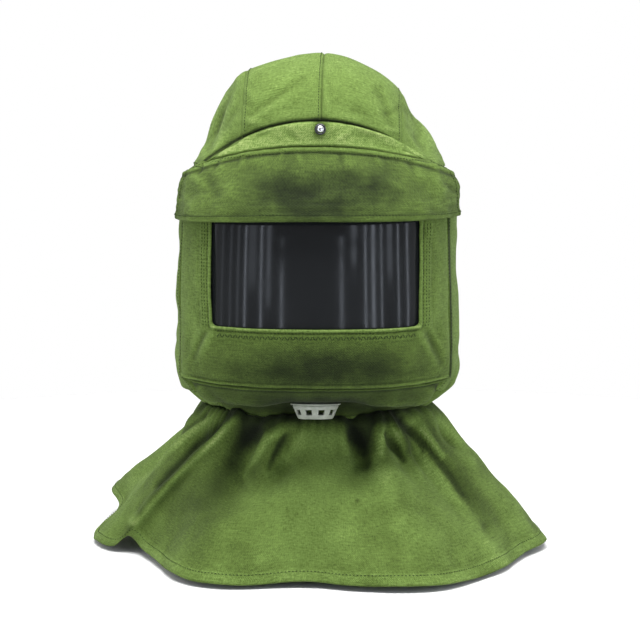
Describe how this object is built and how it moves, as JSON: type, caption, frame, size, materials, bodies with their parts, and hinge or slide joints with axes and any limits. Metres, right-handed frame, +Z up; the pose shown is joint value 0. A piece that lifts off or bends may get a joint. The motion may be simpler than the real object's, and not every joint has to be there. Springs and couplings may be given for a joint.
{
  "type": "sandblasting hood",
  "caption": "Canvas hood with a wide bowed window under a visor flap, a breather valve under the chin and a gathered shoulder cape.",
  "frame": {"origin": "the spot inside the top of the crown where the hood sits on a head, with the whole hood below it", "axes": "+Z up, the window faces -Y, +X is the wearer's left, which is the viewer's right from the front"},
  "size_m": [0.4825, 0.4297, 0.5154],
  "materials": {
    "canvas": "heavy green cotton canvas, plain weave, matt",
    "window_glass": "smooth, seen dark against the inside",
    "valve_plastic": "off-white moulded plastic",
    "dark_metal": "dark nickel",
    "bright_metal": "polished"
  },
  "bodies": {
    "root": {"crown_panel_left": "canvas", "crown_panel_right": "canvas", "crown_side_left": "canvas", "crown_side_right": "canvas", "brow_band": "canvas", "face_panel": "canvas", "chin_panel": "canvas", "side_panel_left": "canvas", "side_panel_right": "canvas", "visor_flap": "canvas", "neck_band": "canvas", "cape": "canvas", "window_pane": "window_glass", "valve_body": "valve_plastic", "valve_cage": "valve_plastic", "stud_ring": "dark_metal", "stud_cap": "bright_metal"}
  },
  "joints": []
}
